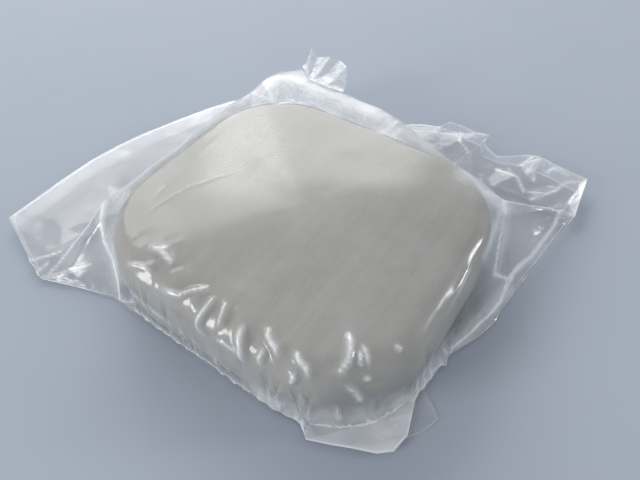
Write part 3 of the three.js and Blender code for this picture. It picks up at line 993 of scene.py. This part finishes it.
@dataclass
class FilmGrid:
    """The film as rings of points round the origin, with what its finish needs to know."""

    points: Array
    crease: Array
    haze: Array

    @classmethod
    def from_rings(cls, rings: list[Array]) -> "FilmGrid":
        """Starts a grid with no creases and no haze."""
        points = np.array(rings)
        return cls(points, np.zeros(points.shape[:2]), np.zeros(points.shape[:2]))

    @property
    def shape(self) -> tuple[int, int]:
        """How many rings the grid has, and how many points each ring has."""
        return self.points.shape[:2]

    @property
    def rows(self) -> Array:
        """Each point's ring, counted from the middle."""
        return np.arange(self.shape[0])[:, None] * np.ones((1, self.shape[1]))

    def sample(self, pattern: Callable[..., Array], size: float, seed: float) -> Array:
        """The value at each point of noise_field or crumple_field."""
        return pattern(self.points.reshape(-1, 3), size, seed).reshape(self.shape)

    def nearest(self, path: Strand) -> tuple[Array, Array]:
        """How far each point is from a path, and where along it, 0 to 1, it is nearest.

        Args:
            path: The path's corners.

        Returns:
            The distances, and the places along the path.
        """
        points = self.points.reshape(-1, 3)
        best, along = np.full(len(points), 1e9), np.zeros(len(points))
        line = np.array(path)
        lengths = np.linalg.norm(np.diff(line, axis=0), axis=1)
        before = 0.0
        for start, end, length in zip(line, line[1:], lengths):
            side = end - start
            share = np.clip(((points - start) @ side) / (side @ side), 0, 1)
            away = np.linalg.norm(points - start - share[:, None] * side, axis=1)
            along = np.where(away < best, (before + share * length) / lengths.sum(), along)
            best = np.minimum(best, away)
            before += length
        return best.reshape(self.shape), along.reshape(self.shape)

    def normals(self) -> Array:
        """The upward normal at each point."""
        across = np.roll(self.points, -1, 1) - np.roll(self.points, 1, 1)
        along = np.gradient(self.points, axis=0)
        return unit(np.cross(along, across))

    def bend(self) -> Array:
        """How sharply the film bends at each point: the turn of its normal for a millimetre.

        Returns:
            One value for each point.
        """
        normals = self.normals()
        bends = []
        for step in (self.step_round, self.step_outwards):
            turned = np.linalg.norm(step(normals), axis=-1)
            span = np.linalg.norm(step(self.points), axis=-1)
            bends.append(turned / np.maximum(span, 0.4))
        return np.maximum(*bends)

    @staticmethod
    def step_round(values: Array) -> Array:
        """The difference between each point's two neighbours in its own ring."""
        return np.roll(values, -1, 1) - np.roll(values, 1, 1)

    @staticmethod
    def step_outwards(values: Array) -> Array:
        """The difference between each point's neighbours in the rings outside and inside."""
        outside = np.concatenate([values[1:], values[-1:]])
        return outside - np.concatenate([values[:1], values[:-1]])

    def piece(self, name: str, keep: Array) -> bpy.types.Object:
        """Cuts the cells where keep is true into a piece of their own.

        Args:
            name: The piece's name.
            keep: One flag for each cell, rows less one by columns.

        Returns:
            The object, shaded with the whole film's normals.
        """
        index = np.arange(self.points[..., 0].size).reshape(self.shape)
        beside = np.roll(index, -1, 1)
        here = np.stack([index[:-1], index[1:], beside[1:], beside[:-1]], -1)[keep]
        used, compact = np.unique(here, return_inverse=True)
        faces = compact.reshape(-1, 4)
        piece = mesh_object(
            name, self.points.reshape(-1, 3)[used], [tuple(map(int, f)) for f in faces]
        )
        mark(piece, "crease", self.crease.reshape(-1)[used])
        mark(piece, "haze", self.haze.reshape(-1)[used])
        normals = self.normals().reshape(-1, 3)[used]
        if len(piece.data.vertices) == len(used):
            piece.data.normals_split_custom_set_from_vertices([tuple(v) for v in normals])
        return piece

    def centres(self) -> Array:
        """The middle of each cell in plan."""
        p = self.points
        nxt = np.roll(p, -1, 1)
        return (p[:-1] + p[1:] + nxt[:-1] + nxt[1:])[..., :2] / 4


@dataclass
class TopPly:
    """The ply over the bar: close over the clay, and loose round it."""

    form: BarForm
    lines: FilmLines = field(default_factory=FilmLines)
    columns: int = 720
    crown_rows: int = 40
    edge_rows: int = 9
    wall_rows: int = 26
    margin_rows: int = 36
    lift: float = 0.3
    crinkle: float = 0.5
    # Steps along the cut edge in the map of heights, and how low the film may lie.
    cut_step: float = 4.0
    lowest: float = 0.45
    # The band along the bar's front edge where the film is wrinkled all over.
    wrinkled_at: float = -36.0
    wrinkled_spread: float = 9.0

    def edge_end(self, angles: Array) -> Array:
        """How far up the rolled edge the film leaves the bar, in radians from the side.

        Args:
            angles: Directions in radians.

        Returns:
            One turn for each direction.
        """
        degrees = np.degrees(angles)
        marks = [-180, -152, -140, -20, 5, 30, 45, 70, 160, 180]
        turns = [50, 48, 35, 35, 38, 46, 48, 60, 60, 50]
        return np.radians(np.interp(degrees, marks, turns))

    def wall_points(self, angles: Array) -> list[Array]:
        """Rings of film that follow the bar's front wall, for the map of heights.

        Args:
            angles: Directions in radians.

        Returns:
            The rings, each n by 3.
        """
        hugging = angles[(np.degrees(angles) > -131) & (np.degrees(angles) < -14)]
        return [
            self.form.ring(hugging, -0.35, self.form.shoulder),
            self.form.ring(hugging, -0.6, 0.9),
        ]

    def build(self) -> FilmGrid:
        """Builds the whole ply as one grid.

        Returns:
            The grid.
        """
        angles = ray_angles(self.columns, np.array(self.lines.cut_edge))
        turn = self.edge_end(angles)
        rings = [np.zeros((len(angles), 3))]
        rings[0][:, 2] = self.form.top + self.lift
        rings += [
            self.form.crown_ring(angles, k / self.crown_rows, self.lift)
            for k in range(1, self.crown_rows + 1)
        ]
        for k in range(1, self.edge_rows + 1):
            here = math.pi / 2 + (turn - math.pi / 2) * k / self.edge_rows
            rings.append(self.form.edge_ring(angles, here, self.lift))
        start = np.linalg.norm(rings[-1][:, :2], axis=1)
        foot = np.maximum(ray_reach(angles, np.array(self.lines.foot)[:, :2]), start + 0.8)
        out = np.maximum(ray_reach(angles, np.array(self.lines.cut_edge)[:, :2]), foot + 0.25)
        heights = self.heights()
        loose = plan_rings(angles, start, foot, self.wall_rows)
        loose += plan_rings(angles, foot, out, self.margin_rows)
        rings += [np.concatenate([flat, heights.at(flat)[:, None]], 1) for flat in loose]
        grid = FilmGrid.from_rings(rings)
        self.soften(grid)
        self.press(grid)
        return grid

    def heights(self) -> HeightMap:
        """The map of heights off the bar.

        Returns:
            The map.
        """
        cut = resample(self.lines.cut_edge + self.lines.cut_edge[:1], self.cut_step)[:-1]
        around = np.radians(np.arange(-180, 180, 4.0))
        shoulder = self.form.edge_ring(around, self.edge_end(around), self.lift)
        strands = [np.array(c) for c in self.lines.creases]
        near = np.radians(np.arange(-180, 180, 3.0))
        walls = np.concatenate(self.wall_points(near))
        singles = np.concatenate([np.array(self.lines.rests), walls])
        return HeightMap.from_lines([shoulder, cut], strands, singles)

    def soften(self, grid: FilmGrid, rounds: int = 2) -> None:
        """Rounds the facets' edges a little off the bar.

        Args:
            grid: The film, whose heights are changed.
            rounds: How many times.
        """
        first = self.crown_rows + self.edge_rows + 1
        z = grid.points[..., 2]
        for _ in range(rounds):
            mean = (np.roll(z, 1, 1) + np.roll(z, -1, 1)) / 2
            mean[1:-1] = (mean[1:-1] + (z[2:] + z[:-2]) / 2) / 2
            z[first:-1] = (z[first:-1] + mean[first:-1]) / 2
            z[-1] = (z[-1] + mean[-1]) / 2

    def press(self, grid: FilmGrid) -> None:
        """Presses wrinkles and crinkles into the film, and notes where they whiten it, partly as a
        painted highlight.

        Args:
            grid: The film, whose points, creases and haze are changed.
        """
        first = self.crown_rows + self.edge_rows
        off_bar = smoothstep(first - 4, first + 3, grid.rows)
        loose = smoothstep(first + 4, first + self.wall_rows, grid.rows)
        lift, white = self.lines.mark_on(grid)
        calm = self.calm(grid.points)
        wave = grid.sample(noise_field, 9.0, 1.7)
        small = grid.sample(noise_field, 3.2, 6.3)
        sharp = grid.sample(crumple_field, 7.5, 2.9)
        tiny = grid.sample(crumple_field, 3.4, 5.2)
        crumple = (0.5 - sharp) * 0.9 + (0.4 - tiny) * 0.35
        lift += off_bar * (0.12 + wave * 0.25 + small * 0.08 * calm)
        lift += off_bar * self.crinkle * crumple * (0.35 + 0.65 * loose) * calm
        front = bell(grid.points[..., 1] - self.wrinkled_at, self.wrinkled_spread)
        lift += (1 - off_bar) * front * np.maximum(small, 0) * 0.35
        lift = np.maximum(lift, -0.1 - 0.5 * loose)
        lift[-1] *= 0.6
        grid.points += grid.normals() * lift[..., None]
        grid.points[..., 2] = np.maximum(grid.points[..., 2], self.lowest)
        # Sharp bends are whitened, partly as the film's own crease whitening and partly as a
        # painted highlight.
        creased = smoothstep(0.22, 0.9, grid.bend()) * off_bar * calm
        grid.crease[:] = np.clip(np.maximum(white, creased), 0, 1)
        # The cut edge shows as a white line.
        rim = np.zeros_like(lift)
        rim[-1] = 1.0
        rim[-2] = 0.35
        grid.crease[:] = np.clip(grid.crease + rim * 0.7, 0, 1)

    @staticmethod
    def calm(points: Array) -> Array:
        """How much of the crinkling each place keeps: less on the left ear and the front wall.

        Args:
            points: Places in millimetres, rows by columns by 3.

        Returns:
            One share, 0 to 1, for each place.
        """
        x, y, z = points[..., 0], points[..., 1], points[..., 2]
        degrees = np.degrees(np.arctan2(y, x))
        ear = smoothstep(-50, -54, x) * smoothstep(-42, -36, y)
        facing = smoothstep(-165, -150, degrees) * smoothstep(0, -20, degrees)
        wall = facing * smoothstep(21, 18, z) * smoothstep(1.2, 3.5, z)
        back = smoothstep(10, 20, x * 0.3 + y) * smoothstep(8, 12, z)
        right = smoothstep(50, 56, y) * smoothstep(-5, 0, x)
        return (1 - ear * 0.85) * (1 - wall * 0.85) * (1 - back * 0.6) * (1 - right * 0.4)


@dataclass
class FloorPly:
    """The ply under the bar, which lies almost flat on the table."""

    form: BarForm
    lines: FilmLines = field(default_factory=FilmLines)
    columns: int = 540
    inner_rows: int = 8
    outer_rows: int = 34
    # The cut edge of this ply, a little inside or outside the top ply's.
    cut_edge: Strand = (
        (46.3, -5.0, 0), (49.2, 1.3, 0), (51.6, 9.6, 0), (51.4, 14.0, 0), (52.8, 23.5, 0),
        (54.4, 33.0, 0), (56.0, 45.9, 0), (57.2, 54.6, 0), (55.4, 67.0, 0), (47.0, 69.0, 0),
        (36.0, 69.6, 0), (31.0, 67.0, 0), (25.0, 67.4, 0), (22.0, 72.0, 0), (12.0, 72.8, 0),
        (6.0, 70.6, 0), (-3.0, 66.4, 0), (-10.0, 60.8, 0), (-16.0, 56.8, 0), (-34.0, 60.6, 0),
        (-42.0, 61.8, 0), (-49.0, 57.6, 0), (-54.0, 51.4, 0), (-59.9, 48.2, 0),
        (-67.4, 46.2, 0), (-72.8, 36.6, 0), (-77.5, 26.0, 0), (-82.2, 14.6, 0),
        (-85.0, 4.7, 0), (-87.1, -6.4, 0), (-87.5, -18.8, 0), (-87.5, -37.4, 0),
        (-79.2, -39.9, 0), (-68.6, -43.3, 0), (-57.8, -46.2, 0), (-47.9, -42.6, 0),
        (-36.0, -39.6, 0), (-30.0, -39.7, 0), (0.0, -39.8, 0), (20.0, -39.8, 0),
        (28.0, -37.9, 0), (34.0, -36.0, 0), (42.0, -33.4, 0), (47.4, -28.6, 0),
        (50.1, -24.8, 0), (51.5, -20.4, 0), (49.0, -18.4, 0), (46.0, -16.4, 0),
        (45.7, -12.9, 0), (46.0, -8.6, 0),
    )
    height: float = 0.15

    def build(self) -> FilmGrid:
        """Builds the whole ply as one grid.

        Returns:
            The grid.
        """
        outline = np.array(self.cut_edge)
        angles = ray_angles(self.columns, outline)
        inner = self.form.reach(angles, 1.0)
        outer = np.maximum(ray_reach(angles, outline[:, :2]), inner + 0.6)
        flats = [np.zeros((len(angles), 2))]
        flats += plan_rings(angles, 0 * inner, inner, self.inner_rows)
        flats += plan_rings(angles, inner, outer, self.outer_rows)
        grid = FilmGrid.from_rings([np.pad(flat, ((0, 0), (0, 1))) for flat in flats])
        loose = smoothstep(self.inner_rows + 2, self.inner_rows + 10, grid.rows)
        wave = grid.sample(noise_field, 11.0, 9.2)
        sharp = grid.sample(crumple_field, 9.0, 4.4)
        lift = loose * np.clip(0.12 + 0.25 * wave + 0.25 * (0.45 - sharp), 0, 0.5)
        grid.points[..., 2] = self.height + lift
        # Sharp bends are whitened, partly as the film's own crease whitening and partly as a
        # painted highlight.
        creased = smoothstep(0.10, 0.5, grid.bend()) * loose * 0.6
        grid.crease[:] = creased
        grid.crease[-1] = np.maximum(grid.crease[-1], 0.7)
        return grid


# ---------------------------------------------------------------------------
# Pieces of film
# ---------------------------------------------------------------------------


@dataclass(frozen=True)
class MarginPlan:
    """A margin's name and the way it points, and two reaches out from the middle, start and end;
    its cells begin beyond start.
    """

    stem: str
    outwards: tuple[float, float]
    start: float
    end: float

    def place(self, reach: float) -> Vector:
        """A place in metres on the margin's middle line, where it has gone out to reach."""
        return Vector((*(np.array(self.outwards) * reach * MM), 0.0))


class Margin(Enum):
    """The loose margins of the pouch."""

    LEFT = MarginPlan("left_ear", (-1.0, 0.0), 51.6, 59.0)
    RIGHT = MarginPlan("right_ear", (0.0, 1.0), 54.2, 60.5)
    FLAP = MarginPlan(
        "front_flap", (math.cos(math.radians(-42)), math.sin(math.radians(-42))), 49.4, 53.4
    )

    def covers(self, centres: Array) -> Array:
        """Which cells belong to this margin.

        Args:
            centres: The middle of each cell in plan.

        Returns:
            One flag for each cell.
        """
        outwards = np.array(self.value.outwards)
        beyond = centres @ outwards > self.value.start
        if self is Margin.RIGHT:
            beyond &= centres[..., 0] > -11.5
        if self is Margin.LEFT:
            beyond &= centres[..., 1] < 49.5
        if self is Margin.FLAP:
            side = centres @ np.array([-outwards[1], outwards[0]])
            beyond &= (side > -14) & (side < 22)
        return beyond


@dataclass(frozen=True)
class PlyPlan:
    """How a ply is cut up: its name, and the CAD nodes that its middle replaces."""

    name: str
    middle: tuple[str, ...]


@dataclass
class Pouch:
    """The film pouch: its cover and floor, and the plies of its loose margins."""

    form: BarForm
    top: FilmFinish = field(default_factory=lambda: FilmFinish("film_over_the_bar", haze=0.09))
    loose: FilmFinish = field(default_factory=lambda: FilmFinish("loose_film", haze=0.2))

    def build(self) -> list[bpy.types.Object]:
        """Builds every piece of the pouch.

        Returns:
            The pieces.
        """
        over_bar, loose = self.top.build(), self.loose.build()
        made = self.cut(
            TopPly(self.form).build(), PlyPlan("top", ("pouch_cover", "back_pocket")),
            over_bar, loose,
        )
        made += self.cut(
            FloorPly(self.form).build(), PlyPlan("floor", ("pouch_floor",)), loose, loose
        )
        return made

    @staticmethod
    def cut(
        grid: FilmGrid, ply: PlyPlan, middle: bpy.types.Material, loose: bpy.types.Material
    ) -> list[bpy.types.Object]:
        """Cuts a ply into its margins and its middle.

        Args:
            grid: The whole ply.
            ply: How it is cut up.
            middle: The finish of its middle.
            loose: The finish of its margins.

        Returns:
            The margins, and then the middle.
        """
        centres = grid.centres()
        left = np.ones(centres.shape[:2], bool)
        made = []
        for margin in Margin:
            plan = margin.value
            keep = margin.covers(centres) & left
            left &= ~keep
            body = Body(f"{plan.stem}_{ply.name}")
            piece = grid.piece(f"{body.value}_ply_film", keep)
            piece.data.materials.append(loose)
            plan.place(plan.start)
            plan.place(plan.end)
            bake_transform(piece)
            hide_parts(f"{body.value}_ply")
            made.append(piece)
        rest = grid.piece(f"{ply.middle[0]}_film", left)
        rest.data.materials.append(middle)
        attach(rest, Body.BAR.value)
        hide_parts(*ply.middle)
        return made + [rest]


@dataclass
class BackTab:
    """The sealed corner of the pouch, a pleated tab that stands back from the pocket."""

    base: Strand = (
        (-41.3, 57.6, 17.5), (-38.0, 55.0, 17.5), (-35.4, 53.0, 17.3), (-34.2, 52.7, 17.3),
        (-32.6, 52.3, 17.4), (-28.0, 51.7, 17.5), (-21.0, 51.9, 17.8),
    )
    tips: Strand = (
        (-42.3, 63.4, 19.6), (-41.4, 63.9, 22.0), (-38.6, 62.4, 19.4), (-32.3, 62.0, 21.5),
        (-30.3, 64.1, 20.0), (-25.4, 61.0, 21.0), (-23.2, 57.6, 18.6),
    )
    # Columns for each pleat, rows from the base to the tips, and how far the film sags.
    columns: int = 12
    rows: int = 22
    sag: float = 0.7
    finish: FilmFinish = field(default_factory=lambda: FilmFinish("tab_film", haze=0.2))

    def build(self) -> bpy.types.Object:
        """Builds the tab, pleated between its base and its tips.

        Returns:
            The tab.
        """
        pleats = len(self.base) - 1
        share = np.array([j / self.columns for j in range(self.columns)] * pleats + [1.0])[:, None]
        index = np.append(np.repeat(np.arange(pleats), self.columns), pleats - 1)
        base, tips = np.array(self.base), np.array(self.tips)
        low = base[index] * (1 - share) + base[index + 1] * share
        high = tips[index] * (1 - share) + tips[index + 1] * share
        place = np.linspace(0, 1, self.rows + 1)[:, None, None]
        points = low[None] * (1 - place) + high[None] * place
        points[..., 2] -= np.sin(np.pi * place[..., 0]) * self.sag
        count = points.shape[1]
        flat = points.reshape(-1, 3)
        crumple = crumple_field(flat, 3.6, 7.7).reshape(points.shape[:2])
        wave = noise_field(flat, 4.0, 3.3).reshape(points.shape[:2])
        loose = np.clip(place[..., 0] * 3, 0, 1)
        points[..., 2] += loose * ((0.4 - crumple) * 0.3 + wave * 0.35)
        pleat = np.minimum(share[:, 0], 1 - share[:, 0]) * self.columns
        # The pleat lines and crumples are whitened, partly as the film's own crease whitening and
        # partly as a painted highlight.
        line = bell(pleat, 0.9)[None] * np.ones(points.shape[:2]) * 0.6
        crease = np.maximum(line, smoothstep(0.3, 0.1, crumple) * 0.4)
        crease[-1] = 1.0
        crease[:, 0] = crease[:, -1] = 1.0
        faces = [
            (i * count + j, i * count + j + 1, (i + 1) * count + j + 1, (i + 1) * count + j)
            for i in range(self.rows)
            for j in range(count - 1)
        ]
        tab = mesh_object("back_tab_film", points.reshape(-1, 3), faces)
        mark(tab, "crease", crease.reshape(-1))
        tab.data.materials.append(self.finish.build())
        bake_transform(tab)
        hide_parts("back_tab")
        return tab


# ---------------------------------------------------------------------------
# Studio
# ---------------------------------------------------------------------------


@dataclass(frozen=True)
class Softbox:
    """A square area light that looks at the bar."""

    place: Point
    size: float
    power: float
    colour: tuple = (1.0, 1.0, 1.0)
    target: Point = (0.0, 0.0, 0.01)

    def build(self, name: str) -> bpy.types.Object:
        """Adds the light.

        Args:
            name: The light's name.

        Returns:
            The light.
        """
        data = bpy.data.lights.new(name, "AREA")
        data.shape = "SQUARE"
        data.size = self.size
        data.energy = self.power
        data.color = self.colour
        lamp = bpy.data.objects.new(name, data)
        lamp.location = self.place
        aim = Vector(self.target) - Vector(self.place)
        lamp.rotation_euler = aim.to_track_quat("-Z", "Y").to_euler()
        bpy.context.scene.collection.objects.link(lamp)
        return lamp


@dataclass
class Studio:
    """The pale floor, the soft light and the camera."""

    floor: FloorFinish = field(default_factory=FloorFinish)
    floor_size: float = 3.0
    lamps: tuple[Softbox, ...] = (
        Softbox((-0.60, 0.80, 0.50), 0.66, 5.2, (1.0, 0.99, 0.97)),
        Softbox((-0.80, 0.44, 0.62), 0.60, 3.4, (1.0, 0.99, 0.97)),
        Softbox((0.78, 0.62, 0.34), 0.16, 1.6),
        Softbox((-0.45, -0.75, 0.36), 0.30, 3.0),
    )
    camera_place: Point = (0.05606, -0.06628, 0.11334)
    camera_right: Point = (0.8222, 0.5679, -0.0384)
    camera_down: Point = (0.4188, -0.6493, -0.6349)
    camera_forward: Point = (-0.3854, 0.5059, -0.7717)
    lens: float = 28.12
    world_light: float = 0.44

    def build(self) -> None:
        """Builds the studio."""
        bpy.ops.mesh.primitive_grid_add(x_subdivisions=4, y_subdivisions=4, size=self.floor_size)
        ground = bpy.context.object
        ground.name = "studio_floor"
        ground.data.materials.append(self.floor.build())
        world = bpy.data.worlds.new("studio")
        world.use_nodes = True
        back = world.node_tree.nodes["Background"]
        back.inputs["Color"].default_value = (0.93, 0.96, 1.0, 1)
        back.inputs["Strength"].default_value = self.world_light
        bpy.context.scene.world = world
        for k, lamp in enumerate(self.lamps):
            lamp.build(f"softbox_{k}")
        data = bpy.data.cameras.new("camera")
        data.lens = self.lens
        data.clip_start = 0.005
        camera = bpy.data.objects.new("camera", data)
        right, down, forward = (
            Vector(v).normalized()
            for v in (self.camera_right, self.camera_down, self.camera_forward)
        )
        turn = Matrix((right, -down, -forward)).transposed()
        camera.matrix_world = Matrix.LocRotScale(Vector(self.camera_place), turn, None)
        bpy.context.scene.collection.objects.link(camera)
        bpy.context.scene.camera = camera
        bpy.context.scene.view_settings.view_transform = "Standard"


def main() -> None:
    """Builds every piece in order and reports it."""
    logging.basicConfig(level=logging.INFO, format="%(name)s: %(message)s")
    form = BarForm.from_frame()
    Studio().build()
    pieces = [ClayBlock(form).build()]
    film = [*Pouch(form).build(), BackTab().build()]
    for piece in pieces + film:
        LOG.info("%s: %d faces", piece.name, len(piece.data.polygons))


if __name__ == "__main__":
    main()
